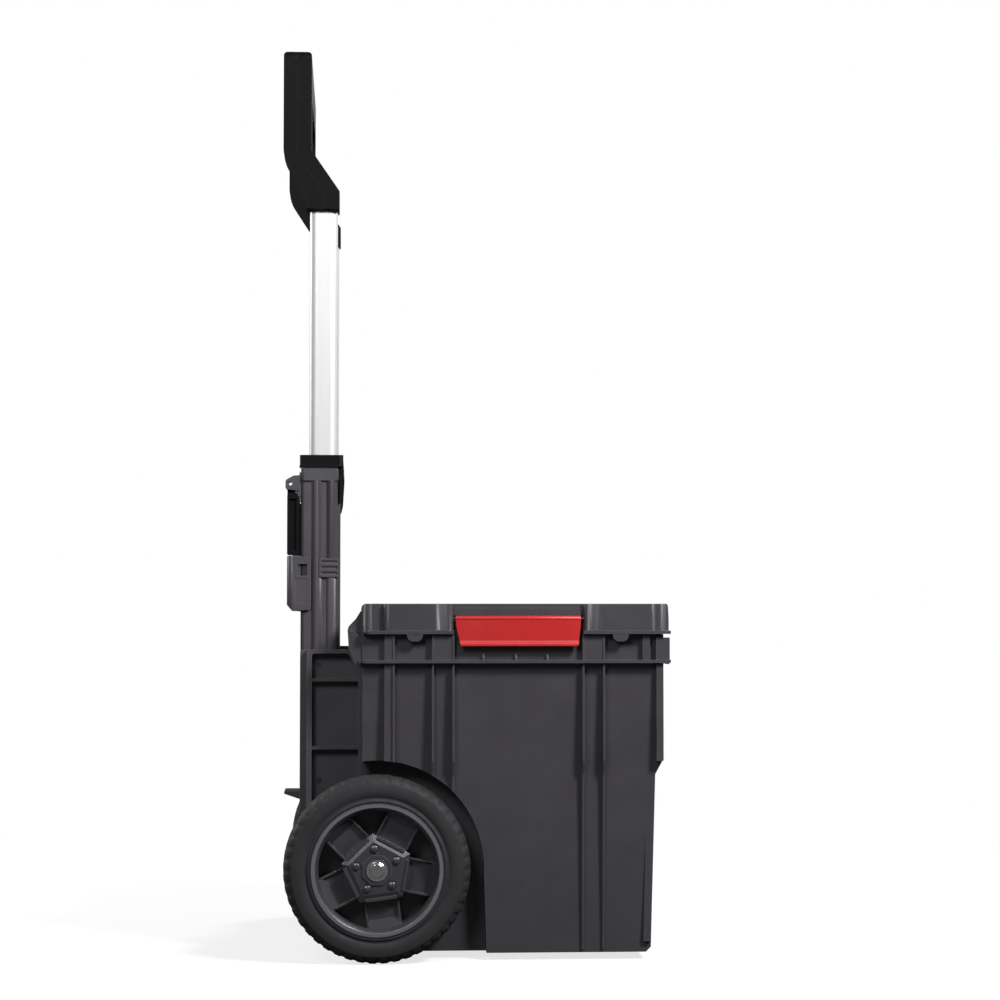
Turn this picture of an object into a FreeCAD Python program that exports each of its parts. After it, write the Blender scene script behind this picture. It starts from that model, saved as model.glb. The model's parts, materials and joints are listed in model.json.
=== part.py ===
import FreeCAD, Part
import math
import os

# Rolling tool box: a moulded tub with a hinged lid on two wheels, carried by a two-column frame
# with a telescopic handle.
# Millimetres. +X is the front, +Y the left side, +Z up.
# The origin is on the floor, under the middle of the whole object.

# ---------------------------------------------------------------- driving dimensions
OVERALL_BACK_X = -210.5
OVERALL_FRONT_X = 210.5
OVERALL_HALF_WIDTH = 240.0
OVERALL_HEIGHT = 997.0

WALL = 3.0

# tub
TUB_BACK_X = -122.0
TUB_FRONT_X = 202.0
TUB_FRONT_STEP_X = 194.0
TUB_FRONT_FOOT_X = 189.5
TUB_BASE_Z = 8.0
TUB_TOP_Z = 350.0
TUB_STEP_LOW_Z = 199.0
TUB_STEP_HIGH_Z = 214.0
TUB_BASE_CHAMFER = 5.4
TUB_HALF_TOP = 215.0
TUB_HALF_BASE = 205.0
FLANGE_Z = (319.3, 322.5)
FLANGE_HALF = 225.0
FIN_HALF = 222.0
FIN_X = (-88.5, -46.5, -24.5, 115.5, 137.7)
FIN_THICK = 2.0

# solid stretches of the rim band between the flange and the lid, as spans along X
BAND_BLOCKS_X = ((-98.4, -88.5), (-46.5, -24.5), (115.5, 137.7), (179.5, 187.5), (194.0, 209.0))

# hinge ears at the tub's back corners, as spans along Y
EAR_SPANS = ((171.0, 178.0), (206.5, 213.5))

# latch bay, the stretch of each side that the latch covers
BAY_X = (-24.2, 115.2)

# lid
LID_BOTTOM_Z = 350.5
LID_TOP_Z = 383.0
LID_TRAY_Z = 364.0
LID_FRONT_X = 209.4
LID_HALF = 218.0
LID_BLOCK_HALF = 225.0
LID_INNER_HALF = 210.5
LID_TRAY_HALF = 163.0
LID_BLOCKS_X = ((-100.0, -24.5), (115.5, 195.0))
LID_SCOOPS_X = (-35.5, 126.5)
LID_TABS_X = ((-75.0, -57.0), (146.5, 164.5))

# lid hinge
HINGE_X = -133.5
HINGE_Z = 354.0
HINGE_PIN_R = 1.5
KNUCKLE_R = 4.6

# side latches
LATCH_PIVOT_Y = 220.5
LATCH_PIVOT_Z = 367.0
LATCH_BEAD_R = 3.4
LATCH_BEAD_X = (-22.5, 112.8)
LATCH_PLATE_TOP_X = (-22.0, 112.4)
LATCH_PLATE_LIP_X = (-16.6, 109.8)
LATCH_BOTTOM_Z = 337.5

# wheels and axle
AXLE_X = -106.0
AXLE_Z = 100.0
AXLE_R = 6.0
WHEEL_R = 100.0
WHEEL_Y = (195.0, 238.0)
TYRE_SEAT_R = 66.5
RIM_LIP_R = 71.0
WELL_R = 115.0
WELL_WALL_Y = 185.0

# columns of the frame
COLUMN_X = (-190.0, -147.6)
COLUMN_Y = (120.0, 150.0)
COLUMN_Z = (156.0, 541.0)
COLLAR_X = (-191.2, -143.4)
COLLAR_Z = (534.0, 547.0)
TUBE_X = -165.6
TUBE_Y = 134.5
TUBE_LONG = 31.0
TUBE_WIDE = 19.0
TUBE_WALL = 1.5
TUBE_Z = (432.0, 838.0)
TUBE_CLEAR = 0.5

# handle
HANDLE_BACK_X = OVERALL_BACK_X
HANDLE_FRONT_X = -179.3
HANDLE_Y = (117.0, 149.0)
HANDLE_TOP_Z = OVERALL_HEIGHT
HANDLE_FOOT_Z = 818.0
HANDLE_FOOT_X = (-185.0, -148.2)
HANDLE_BEND_FRONT_Z = (840.0, 885.0)
HANDLE_BEND_BACK_Z = (837.0, 876.0)
HANDLE_RADII = [1.5, 1.5, 2.0, 4.0, 6.0, 6.0, 40.0, 2.0]
HANDLE_INNER_RADII = [0.0, 0.0, 1.0, 3.0, 3.0, 3.0, 30.0, 1.0]
HANDLE_TOP_CORNER_R = 9.0
HANDLE_LINE = (1.0, 0.5)
HANDLE_LINES_Z = (924.6, 946.3)
HANDLE_CHEVRON_Z = (973.0, 967.5)
GRIP_BOTTOM_Z = 949.0
BUTTON_HALF = 24.0

# screws of the handle: Y, Z and the X of the face each goes in at
HANDLE_SCREWS = (
    (121.0, 900.0, OVERALL_BACK_X),
    (85.0, 954.3, OVERALL_BACK_X),
    (121.0, 829.0, HANDLE_FOOT_X[0]),
)
HANDLE_SCREW_R = 1.5
HANDLE_HEAD_R = 3.2

# lock of the telescope
LOCK_Z = 441.0
LOCK_PIN_R = 2.5

CATCH_EDGE_R = 6.5

# foot ledge low on the back
STEP_HALF = 24.0

# strap levers on the columns
LEVER_PIN_X = -201.5
LEVER_PIN_Z = 515.6
LEVER_PIN_R = 2.6
LEVER_Y = (123.5, 146.5)

# screw places: feet (X, Y), axle beam (Y, Z), side plate to tub (Y, Z), side plate to column (X, Z)
FOOT_SCREWS = ((138.0, 105.0), (172.0, 105.0))
BEAM_SCREWS = ((-140.0, 114.0), (0.0, 114.0), (140.0, 114.0))
SIDE_SCREWS = ((133.0, 172.0), (137.0, 250.0))
COLUMN_SCREWS = ((-169.0, 190.0), (-169.0, 316.0))


# ---------------------------------------------------------------- helpers
def block(x_span, y_span, z_span):
    """A box from three (low, high) spans."""
    size = [b - a for a, b in (x_span, y_span, z_span)]
    corner = FreeCAD.Vector(x_span[0], y_span[0], z_span[0])
    return Part.makeBox(size[0], size[1], size[2], corner)


def cylinder(axis, centre, radius, span):
    """A cylinder along an axis letter; centre is the two other coordinates in X, Y, Z order."""
    low, high = span
    if axis == "x":
        base, direction = FreeCAD.Vector(low, *centre), FreeCAD.Vector(1, 0, 0)
    elif axis == "y":
        base, direction = FreeCAD.Vector(centre[0], low, centre[1]), FreeCAD.Vector(0, 1, 0)
    else:
        base, direction = FreeCAD.Vector(*centre, low), FreeCAD.Vector(0, 0, 1)
    return Part.makeCylinder(radius, high - low, base, direction)


def place(axis, point, level):
    """A plane point with its level along the axis, as a vector."""
    if axis == "x":
        return FreeCAD.Vector(level, point[0], point[1])
    if axis == "y":
        return FreeCAD.Vector(point[0], level, point[1])
    return FreeCAD.Vector(point[0], point[1], level)


def extrude(axis, outline, span, radii=None):
    """A prism along an axis. radii rounds each corner of the outline with a tangent arc."""
    low, high = span
    count = len(outline)
    radii = radii or [0.0] * count
    starts, ends, middles = [], [], []
    for i, (px, pz) in enumerate(outline):
        before = outline[i - 1]
        after = outline[(i + 1) % count]
        u = FreeCAD.Vector(before[0] - px, before[1] - pz, 0).normalize()
        v = FreeCAD.Vector(after[0] - px, after[1] - pz, 0).normalize()
        half = u.getAngle(v) / 2
        reach = radii[i] / math.tan(half)
        corner = FreeCAD.Vector(px, pz, 0)
        starts.append(corner + u * reach)
        ends.append(corner + v * reach)
        if radii[i]:
            inward = (u + v).normalize()
            centre = corner + inward * (radii[i] / math.sin(half))
            middles.append(centre - inward * radii[i])
        else:
            middles.append(None)
    edges = []
    for i in range(count):
        start, end, middle = starts[i], ends[i], middles[i]
        if middle:
            arc = [place(axis, (p.x, p.y), low) for p in (start, middle, end)]
            edges.append(Part.Arc(*arc).toShape())
        follow = starts[(i + 1) % count]
        if (follow - end).Length > 1e-6:
            line = [place(axis, (p.x, p.y), low) for p in (end, follow)]
            edges.append(Part.LineSegment(*line).toShape())
    face = Part.Face(Part.Wire(edges))
    return face.extrude(place(axis, (0, 0), high - low))


def rectangle(a_span, b_span):
    """The four corners of a rectangle, in order round it."""
    (a0, a1), (b0, b1) = a_span, b_span
    return [(a0, b0), (a1, b0), (a1, b1), (a0, b1)]


def slab(x_span, y_span, z_span, radius):
    """A box whose four upright edges are rounded."""
    return extrude("z", rectangle(x_span, y_span), z_span, [radius] * 4)


def revolve_y(profile, centre=(AXLE_X, AXLE_Z)):
    """A ring turned about an axis along Y. The profile is (radius, y) points."""
    points = [FreeCAD.Vector(centre[0] + r, y, centre[1]) for r, y in profile]
    face = Part.Face(Part.makePolygon(points + points[:1]))
    return face.revolve(FreeCAD.Vector(centre[0], 0, centre[1]), FreeCAD.Vector(0, 1, 0), 360)


def fuse(shapes):
    """One shape from several that touch or overlap."""
    first, rest = shapes[0], shapes[1:]
    return first.fuse(rest).removeSplitter() if rest else first


def mirrored(shape):
    """The same piece on the right side."""
    return shape.mirror(FreeCAD.Vector(0, 0, 0), FreeCAD.Vector(0, 1, 0))


def spread(span, grow):
    return (span[0] - grow, span[1] + grow)


def sym(half):
    return (-half, half)


def save(node, shape):
    """Writes one node, and says how many solids it has and their volume."""
    solids = shape.Solids
    if not solids or not shape.isValid():
        raise ValueError(node + " is not a valid solid")
    shape = solids[0] if len(solids) == 1 else Part.makeCompound(solids)
    shape.exportStep(os.path.join("parts", node + ".step"))
    print("%-24s solids %d  volume %.1f cm3" % (node, len(solids), shape.Volume / 1000))


def save_pair(name, left):
    """Writes the left piece and its mirror image on the right."""
    save(name + "_left", left)
    save(name + "_right", mirrored(left))


def save_group(name, left):
    """Writes a left piece or pieces and the mirror image as one node."""
    save(name, Part.makeCompound(left.Solids + mirrored(left).Solids))


# ---------------------------------------------------------------- tub
def tub_side_profile(inset, base_z, top_z):
    """The tub's outline seen from the side, moved inwards by the inset."""
    chamfer = TUB_BASE_CHAMFER
    return [
        (TUB_BACK_X + inset, base_z),
        (TUB_FRONT_FOOT_X - chamfer - inset, base_z),
        (TUB_FRONT_FOOT_X - inset, base_z + chamfer),
        (TUB_FRONT_STEP_X - inset, TUB_STEP_LOW_Z),
        (TUB_FRONT_X - inset, TUB_STEP_HIGH_Z),
        (TUB_FRONT_X - inset, top_z),
        (TUB_BACK_X + inset, top_z),
    ]


def tub_cross_profile(inset, base_z, top_z):
    """The tub's outline seen from the front: its sides lean out towards the flange."""
    low = TUB_HALF_BASE - inset
    high = TUB_HALF_TOP - inset
    return [
        (-low, base_z),
        (low, base_z),
        (high, FLANGE_Z[0]),
        (high, top_z),
        (-high, top_z),
        (-high, FLANGE_Z[0]),
    ]


def tub_form(inset, base_z, top_z):
    side = extrude("y", tub_side_profile(inset, base_z, top_z), sym(260))
    cross = extrude("x", tub_cross_profile(inset, base_z, top_z), sym(260))
    return side.common(cross)


def wheel_well(grow):
    """The space of one wheel, open to the side, the back and the floor, grown by a wall."""
    radius = WELL_R + grow
    span = (WELL_WALL_Y - grow, 270.0)
    arch = cylinder("y", (AXLE_X, AXLE_Z), radius, span)
    below = extrude(
        "y",
        [
            (-260.0, -20.0),
            (AXLE_X + radius + 4.0, -20.0),
            (AXLE_X + radius, AXLE_Z),
            (-260.0, AXLE_Z),
        ],
        span,
    )
    return arch.fuse(below)


def axle_channel(grow):
    """The groove across the tub's back that the axle beam sits in."""
    return block((-150.0, -84.0 + grow), sym(200.0), (78.0 - grow, 122.0 + grow))


def side_fins():
    """Upright fins on the left side, deep down to the step and shallow below it."""
    fins = []
    for x in FIN_X:
        span = (x - FIN_THICK / 2, x + FIN_THICK / 2)
        deep = extrude(
            "x",
            [
                (208.0, TUB_STEP_LOW_Z),
                (TUB_HALF_TOP + 2.0, TUB_STEP_LOW_Z),
                (FIN_HALF, TUB_STEP_HIGH_Z),
                (FIN_HALF, TUB_TOP_Z),
                (212.5, TUB_TOP_Z),
            ],
            span,
        )
        shallow = extrude(
            "x",
            [
                (203.0, TUB_BASE_Z + 4.0),
                (TUB_HALF_BASE + 3.0, TUB_BASE_Z + 4.0),
                (TUB_HALF_TOP + 2.0, TUB_STEP_LOW_Z),
                (208.0, TUB_STEP_LOW_Z),
            ],
            span,
        )
        fins += [deep, shallow]
    return fins


def front_fins():
    """Upright fins on the front wall, in pairs like those of the sides."""
    fins = []
    for y in (-172.0, -150.0, -70.0, 70.0, 150.0, 172.0):
        span = (y - FIN_THICK / 2, y + FIN_THICK / 2)
        outline = [
            (TUB_FRONT_X - 2.0, TUB_STEP_HIGH_Z + 4.0),
            (TUB_FRONT_X + 6.0, TUB_STEP_HIGH_Z + 14.0),
            (TUB_FRONT_X + 6.0, TUB_TOP_Z),
            (TUB_FRONT_X - 2.0, TUB_TOP_Z),
        ]
        fins.append(extrude("y", outline, span))
    return fins


def tub_ear(y_span):
    """One curved web at a back corner, with the hinge knuckle at its top."""
    web = extrude(
        "y",
        [
            (HINGE_X - 4.5, HINGE_Z - 1.0),
            (HINGE_X - 3.4, 336.0),
            (HINGE_X + 8.0, 308.0),
            (TUB_BACK_X + 12.0, 284.0),
            (TUB_BACK_X + 12.0, TUB_TOP_Z - 0.4),
            (HINGE_X + 5.0, TUB_TOP_Z - 0.4),
            (HINGE_X + 4.5, HINGE_Z - 1.0),
        ],
        y_span,
        [0.0, 18.0, 30.0, 0.0, 0.0, 4.0, 0.0],
    )
    knuckle = cylinder("y", (HINGE_X, HINGE_Z), KNUCKLE_R, y_span)
    bore = cylinder("y", (HINGE_X, HINGE_Z), HINGE_PIN_R, spread(y_span, 1))
    return web.fuse(knuckle).cut(bore)


def flange_ring():
    """The thin shelf round the tub, with a small down-turned lip at the front."""
    shelf = slab((TUB_BACK_X - 4.0, OVERALL_FRONT_X), sym(FLANGE_HALF), FLANGE_Z, 7.0)
    lip = block((208.6, OVERALL_FRONT_X), sym(205.0), (317.6, FLANGE_Z[1]))
    return fuse([shelf, lip])


def band_blocks():
    """The solid posts of the rim band on the left side, and the strips that run down from two."""
    posts = []
    for span in BAND_BLOCKS_X:
        top = TUB_TOP_Z if span[1] < 190.0 else 346.5
        posts.append(block(span, (209.0, FIN_HALF - 1.0), (FLANGE_Z[0], top)))
    low = TUB_STEP_LOW_Z
    back_strip = extrude(
        "x",
        [(208.0, low), (218.0, low), (220.0, TUB_STEP_HIGH_Z), (220.0, 320.0), (208.0, 320.0)],
        BAND_BLOCKS_X[0],
    )
    front_strip = block((194.5, TUB_FRONT_X), (208.0, 221.0), (TUB_STEP_HIGH_Z, FLANGE_Z[0]))
    low_strip = extrude(
        "y",
        [
            (TUB_FRONT_FOOT_X - 8.5, 20.0),
            (TUB_FRONT_FOOT_X - 0.6, 20.0),
            (TUB_FRONT_STEP_X - 0.6, TUB_STEP_LOW_Z),
            (TUB_FRONT_X, TUB_STEP_HIGH_Z),
            (TUB_FRONT_X - 8.5, TUB_STEP_HIGH_Z),
            (TUB_FRONT_STEP_X - 8.5, TUB_STEP_LOW_Z),
        ],
        (203.0, TUB_HALF_BASE + 4.5),
    )
    return posts + [back_strip, front_strip, low_strip]


def latch_keepers():
    """Under each latch: the keeper ledge and three small gussets on the flange."""
    pieces = [block((0.0, 90.0), (213.0, 216.8), (345.5, 349.5))]
    for x in (8.0, 43.0, 77.0):
        outline = [(213.0, 321.0), (223.0, 321.0), (217.0, 329.5), (213.0, 329.5)]
        pieces.append(extrude("x", outline, (x - 1.0, x + 1.0)))
    return pieces


def make_tub():
    outer = tub_form(0.0, TUB_BASE_Z, TUB_TOP_Z)
    left = side_fins() + latch_keepers() + band_blocks()
    for span in EAR_SPANS:
        left.append(tub_ear(span))
    right = [mirrored(piece) for piece in left]
    trim = [flange_ring()] + front_fins()
    solid = fuse([outer] + left + right + trim)
    well = wheel_well(0.0)
    well_skin = wheel_well(WALL)
    cavity = tub_form(WALL, TUB_BASE_Z + WALL, TUB_TOP_Z + 5.0)
    cavity = cavity.cut([well_skin, mirrored(well_skin), axle_channel(WALL)])
    solid = solid.cut([well, mirrored(well), axle_channel(0.0), cavity])
    holes = []
    for y, z in SIDE_SCREWS:
        for side in (-1, 1):
            holes.append(cylinder("x", (side * y, z), 2.55, (TUB_BACK_X - 6.0, TUB_BACK_X + 6.0)))
    for x, y in FOOT_SCREWS:
        for side in (-1, 1):
            holes.append(cylinder("z", (x, side * y), 2.05, (TUB_BASE_Z - 2.0, TUB_BASE_Z + 6.0)))
    for y, z in BEAM_SCREWS:
        holes.append(cylinder("x", (y, z), 2.55, (-86.0, -78.0)))
    return solid.cut(holes)


def make_feet():
    foot = slab((126.0, 184.0), (86.0, 124.0), (0.0, TUB_BASE_Z), 6.0)
    wells = []
    for x, y in FOOT_SCREWS:
        wells.append(cylinder("z", (x, y), 4.2, (-1.0, 4.0)))
        wells.append(cylinder("z", (x, y), 2.05, (3.0, 9.0)))
    return foot.cut(wells)


def make_foot_screws():
    screws = []
    for x, y in FOOT_SCREWS:
        head = cylinder("z", (x, y), 3.9, (1.2, 4.0))
        shank = cylinder("z", (x, y), 2.0, (4.0, TUB_BASE_Z + 6.5))
        screws.append(head.fuse(shank))
    return Part.makeCompound(screws)


# ---------------------------------------------------------------- lid
def make_lid():
    back = TUB_BACK_X
    shell = slab((back, LID_FRONT_X), sym(LID_HALF), (LID_BOTTOM_Z, LID_TOP_Z), 10.0)
    chamfered = extrude(
        "y",
        [
            (back, LID_BOTTOM_Z),
            (LID_FRONT_X + 1.0, LID_BOTTOM_Z),
            (LID_FRONT_X - 1.5, LID_TOP_Z),
            (back + 1.2, LID_TOP_Z),
            (back - 1.0, LID_TOP_Z - 8.0),
        ],
        sym(240),
        [0.0, 0.0, 3.0, 2.0, 0.0],
    )
    shell = shell.common(chamfered)
    lip = slab((back, OVERALL_FRONT_X), sym(226.0), (LID_BOTTOM_Z, LID_BOTTOM_Z + 3.5), 8.0)
    pieces = [shell, lip]
    tray_top = block((back - 20.0, 172.0), sym(LID_TRAY_HALF), (LID_TRAY_Z, LID_TOP_Z + 5.0))
    ribs = []
    for x0, x1 in LID_BLOCKS_X:
        for side in (-1, 1):
            spans = sorted((side * 205.0, side * LID_BLOCK_HALF))
            ribs.append(slab((x0, x1), spans, (LID_BOTTOM_Z, LID_TOP_Z - 0.6), 6.0))
    for x0, x1 in LID_TABS_X:
        top, low = LID_BOTTOM_Z + 2.0, LID_BOTTOM_Z - 8.0
        outline = [(x0, top), (x0 + 1.5, low), (x1 - 1.5, low), (x1, top)]
        for side in (-1, 1):
            spans = sorted((side * 223.2, side * 225.6))
            ribs.append(extrude("y", outline, spans, [0.0, 6.8, 6.8, 0.0]))
    solid = fuse(pieces + ribs).cut(tray_top)
    inside = (back + WALL, TUB_FRONT_X - WALL)
    ceiling = LID_TOP_Z - WALL
    hollow_rail = block(inside, (166.0, LID_INNER_HALF), (340.0, ceiling))
    hollow_front = block((175.0, LID_FRONT_X - WALL), sym(LID_INNER_HALF), (357.0, ceiling))
    hollow_tray = block(inside, sym(200.0), (340.0, LID_TRAY_Z - WALL))
    bays = []
    for side in (-1, 1):
        spans = sorted((side * 213.5, side * 240.0))
        bays.append(block(BAY_X, spans, (LID_BOTTOM_Z - 12.0, 371.0)))
        spans = sorted((side * 214.0, side * 240.0))
        bays.append(block(BAY_X, spans, (378.5, LID_TOP_Z + 5.0)))
        for x in LID_SCOOPS_X:
            scoop = cylinder("z", (x, side * (LID_BLOCK_HALF + 12.0)), 14.5, (LID_BOTTOM_Z + 4.5, 390.0))
            bays.append(scoop)
    hollows = [hollow_rail, mirrored(hollow_rail), hollow_front, hollow_tray]
    solid = solid.cut(hollows + bays)
    under = LID_TRAY_Z - WALL
    for y in (-110.0, -55.0, 0.0, 55.0, 110.0):
        solid = solid.fuse(block((back + 1.0, 176.0), (y - 1.0, y + 1.0), (under - 5.0, under + 1.0)))
    arms = []
    bores = []
    for side in (-1, 1):
        spans = sorted((side * 178.4, side * 206.1))
        arm = extrude(
            "y",
            [
                (back + 1.0, LID_BOTTOM_Z + 1.0),
                (back + 1.0, 376.0),
                (back - 1.0, 375.0),
                (HINGE_X + 5.0, 366.0),
                (HINGE_X - 3.5, HINGE_Z + 3.0),
                (HINGE_X + 2.0, HINGE_Z - 3.0),
            ],
            spans,
        )
        knuckle = cylinder("y", (HINGE_X, HINGE_Z), KNUCKLE_R, spans)
        arms.append(arm.fuse(knuckle))
        bores.append(cylinder("y", (HINGE_X, HINGE_Z), HINGE_PIN_R + 0.05, spread(spans, 1)))
        pin_hole = cylinder("x", (side * LATCH_PIVOT_Y, LATCH_PIVOT_Z), 1.25, (-31.0, 121.0))
        bores.append(pin_hole)
    solid = fuse([solid] + arms)
    return solid.cut(bores)


def make_lid_seal():
    """A rubber ring against the lid's inner wall, whose lower lip dips inside the tub's rim."""
    inside = (TUB_BACK_X + WALL, TUB_FRONT_X - WALL)
    held = block(inside, sym(LID_INNER_HALF), (351.2, 355.0))
    lip = block(spread(inside, -0.7), sym(LID_INNER_HALF - 0.6), (347.5, 351.2))
    core = block(spread(inside, -4.0), sym(LID_INNER_HALF - 4.0), (340.0, 360.0))
    return held.fuse(lip).cut(core)


def make_latch_pins():
    return cylinder("x", (LATCH_PIVOT_Y, LATCH_PIVOT_Z), 1.25, (-30.5, 120.5))


def make_latch():
    """One side latch: a long bead on its pin, a thin plate, a finger lip and a catch nub."""
    pivot = (LATCH_PIVOT_Y, LATCH_PIVOT_Z)
    bead = cylinder("x", pivot, LATCH_BEAD_R, LATCH_BEAD_X)
    plate = extrude(
        "x",
        [
            (220.4, LATCH_BOTTOM_Z + 1.0),
            (221.4, LATCH_BOTTOM_Z),
            (225.2, LATCH_BOTTOM_Z),
            (225.2, LATCH_BOTTOM_Z + 2.0),
            (223.6, LATCH_BOTTOM_Z + 6.0),
            (223.6, LATCH_PIVOT_Z),
            (220.4, LATCH_PIVOT_Z),
        ],
        LATCH_PLATE_TOP_X,
    )
    (top0, top1), (lip0, lip1) = LATCH_PLATE_TOP_X, LATCH_PLATE_LIP_X
    shoulder = LATCH_PIVOT_Z - 7.0
    front_view = [
        (lip0, LATCH_BOTTOM_Z - 1.0),
        (lip1, LATCH_BOTTOM_Z - 1.0),
        (top1, shoulder),
        (top1, LATCH_PIVOT_Z + 1.0),
        (top0, LATCH_PIVOT_Z + 1.0),
        (top0, shoulder),
    ]
    plate = plate.common(extrude("y", front_view, (210.0, 230.0)))
    nub = block((2.0, 88.0), (217.4, 221.0), (340.5, 344.8))
    bore = cylinder("x", pivot, 1.3, spread(LATCH_BEAD_X, 1))
    return fuse([bead, plate, nub]).cut(bore)


def make_hinge_pin():
    return cylinder("y", (HINGE_X, HINGE_Z), HINGE_PIN_R, (169.5, 214.0))


# ---------------------------------------------------------------- wheels
def make_tyre():
    y0, y1 = WHEEL_Y
    profile = [
        (TYRE_SEAT_R, y0 + 3.0),
        (TYRE_SEAT_R + 4.5, y0 + 1.0),
        (RIM_LIP_R + 1.0, y0),
        (90.0, y0),
        (96.5, y0 + 2.5),
        (WHEEL_R, y0 + 8.0),
        (WHEEL_R, y1 - 8.0),
        (96.5, y1 - 2.5),
        (90.0, y1),
        (RIM_LIP_R + 1.0, y1),
        (TYRE_SEAT_R + 4.5, y1 - 1.0),
        (TYRE_SEAT_R, y1 - 3.0),
    ]
    return revolve_y(profile)


LUG_ANGLES = [98.0 + 72.0 * i for i in range(5)]
HUB_POINT_R = 39.0
HUB_PLATE_R = 30.5
OCTAGON_R = 16.8
LUG_R = 4.2
SPOKE_HALF = 16.5


def polar(radius, angle):
    """A point about the axle. Angles run from the front, upwards."""
    rad = math.radians(angle)
    return (AXLE_X + radius * math.cos(rad), AXLE_Z + radius * math.sin(rad))


def regular_outline(sides, radius, first_angle, level):
    """A closed wire round the axle with equal sides, in the plane Y = level."""
    points = [polar(radius, first_angle + 360.0 * i / sides) for i in range(sides)]
    corners = [place("y", point, level) for point in points]
    return Part.makePolygon(corners + corners[:1])


def regular_frustum(sides, radii, first_angle, span):
    """A tapered prism round the axle, from the first radius at the low end to the second."""
    ends = [regular_outline(sides, r, first_angle, y) for r, y in zip(radii, span)]
    return Part.makeLoft(ends, True, True)


def regular_prism(sides, radius, first_angle, span):
    return regular_frustum(sides, (radius, radius), first_angle, span)


def lug_nut(centre, face):
    """A round lug with a domed end."""
    stem = cylinder("y", centre, LUG_R, (face - 5.0, face - 1.6))
    ball = Part.makeSphere(7.4, place("y", centre, face - 7.6))
    return stem.fuse(ball.common(cylinder("y", centre, LUG_R, (face - 1.6, face + 1.0))))


def make_rim():
    """The left rim: barrel, closed back web, pentagon hub, five panels, ribs and lugs."""
    y0, y1 = WHEEL_Y
    barrel = revolve_y(
        [
            (62.5, y0 + 1.0),
            (TYRE_SEAT_R, y0 + 1.0),
            (TYRE_SEAT_R, y1 - 2.6),
            (RIM_LIP_R, y1 - 0.6),
            (RIM_LIP_R, y1 + 0.6),
            (66.5, y1 + 0.6),
            (62.5, y1 - 4.0),
        ]
    )
    barrel = barrel.common(cylinder("y", (AXLE_X, AXLE_Z), 100.0, (y0, OVERALL_HALF_WIDTH)))
    hub = [
        regular_prism(5, HUB_POINT_R, LUG_ANGLES[0], (y1 - 10.0, y1 - 5.6)),
        regular_frustum(5, (HUB_POINT_R, HUB_PLATE_R), LUG_ANGLES[0], (y1 - 5.6, y1 - 2.6)),
        regular_prism(8, OCTAGON_R, 22.5, (y1 - 4.0, y1 - 1.0)),
    ]
    core = cylinder("y", (AXLE_X, AXLE_Z), 15.5, (y0 + 2.0, y1 - 3.0))
    web = cylinder("y", (AXLE_X, AXLE_Z), 63.0, (y0 + 5.0, y0 + 8.0))
    pieces = [barrel, core, web] + hub
    rings = [cylinder("y", (AXLE_X, AXLE_Z), 12.4, (y1 - 3.2, y1 + 2.0))]
    for angle in LUG_ANGLES:
        panel = extrude(
            "y",
            [
                (AXLE_X + 22.0, AXLE_Z - SPOKE_HALF),
                (AXLE_X + 64.0, AXLE_Z - SPOKE_HALF),
                (AXLE_X + 64.0, AXLE_Z + SPOKE_HALF),
                (AXLE_X + 22.0, AXLE_Z + SPOKE_HALF),
            ],
            (y1 - 19.0, y1 - 15.0),
        )
        wedge = extrude(
            "z",
            [
                (AXLE_X + 53.0, y1 - 15.0),
                (AXLE_X + 64.0, y1 - 15.0),
                (AXLE_X + 64.0, y1 - 5.0),
            ],
            (AXLE_Z - SPOKE_HALF, AXLE_Z + SPOKE_HALF),
        )
        wall = block(
            (AXLE_X + 29.0, AXLE_X + 32.0),
            (y1 - 19.0, y1 - 3.0),
            (AXLE_Z - SPOKE_HALF, AXLE_Z + SPOKE_HALF),
        )
        spoke = panel.fuse([wedge, wall])
        for side in (-1, 1):
            rib = block(
                (AXLE_X + 30.0, AXLE_X + 62.5),
                (y1 - 19.0, y1 - 11.0),
                sorted((AXLE_Z + side * SPOKE_HALF, AXLE_Z + side * (SPOKE_HALF + 2.0))),
            )
            spoke = spoke.fuse(rib)
        centre = FreeCAD.Vector(AXLE_X, 0, AXLE_Z)
        spoke.rotate(centre, FreeCAD.Vector(0, 1, 0), -(angle + 36.0))
        pieces.append(spoke)
        lug = polar(22.6, angle)
        ring = cylinder("y", lug, LUG_R + 1.0, (y1 - 3.4, y1 + 2.0))
        rings.append(ring.cut(cylinder("y", lug, LUG_R, (y1 - 4.0, y1 + 3.0))))
        pieces.append(lug_nut(lug, y1))
    solid = fuse(pieces).cut(rings)
    limit = cylinder("y", (AXLE_X, AXLE_Z), RIM_LIP_R + 1.0, (y0, OVERALL_HALF_WIDTH))
    bore = cylinder("y", (AXLE_X, AXLE_Z), 9.0, (y0 - 5.0, y1 + 5.0))
    return solid.common(limit).cut(bore)


def make_hub_bushes():
    """Two nylon bushes pressed in the rim's hub, one from each face."""
    y0, y1 = WHEEL_Y
    bushes = []
    for span in ((y0 + 2.0, y0 + 14.0), (y1 - 15.0, y1 - 3.0)):
        tube = cylinder("y", (AXLE_X, AXLE_Z), 9.0, span)
        bushes.append(tube.cut(cylinder("y", (AXLE_X, AXLE_Z), AXLE_R + 0.06, spread(span, 1))))
    return Part.makeCompound(bushes)


def make_axle():
    """The steel axle, right across from wheel face to wheel face."""
    return cylinder("y", (AXLE_X, AXLE_Z), AXLE_R, sym(237.0))


def make_axle_spacer():
    """The washer sleeve between the beam and the wheel."""
    span = (189.5, 196.7)
    ring = cylinder("y", (AXLE_X, AXLE_Z), 12.0, span)
    return ring.cut(cylinder("y", (AXLE_X, AXLE_Z), AXLE_R, spread(span, 1)))


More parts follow.
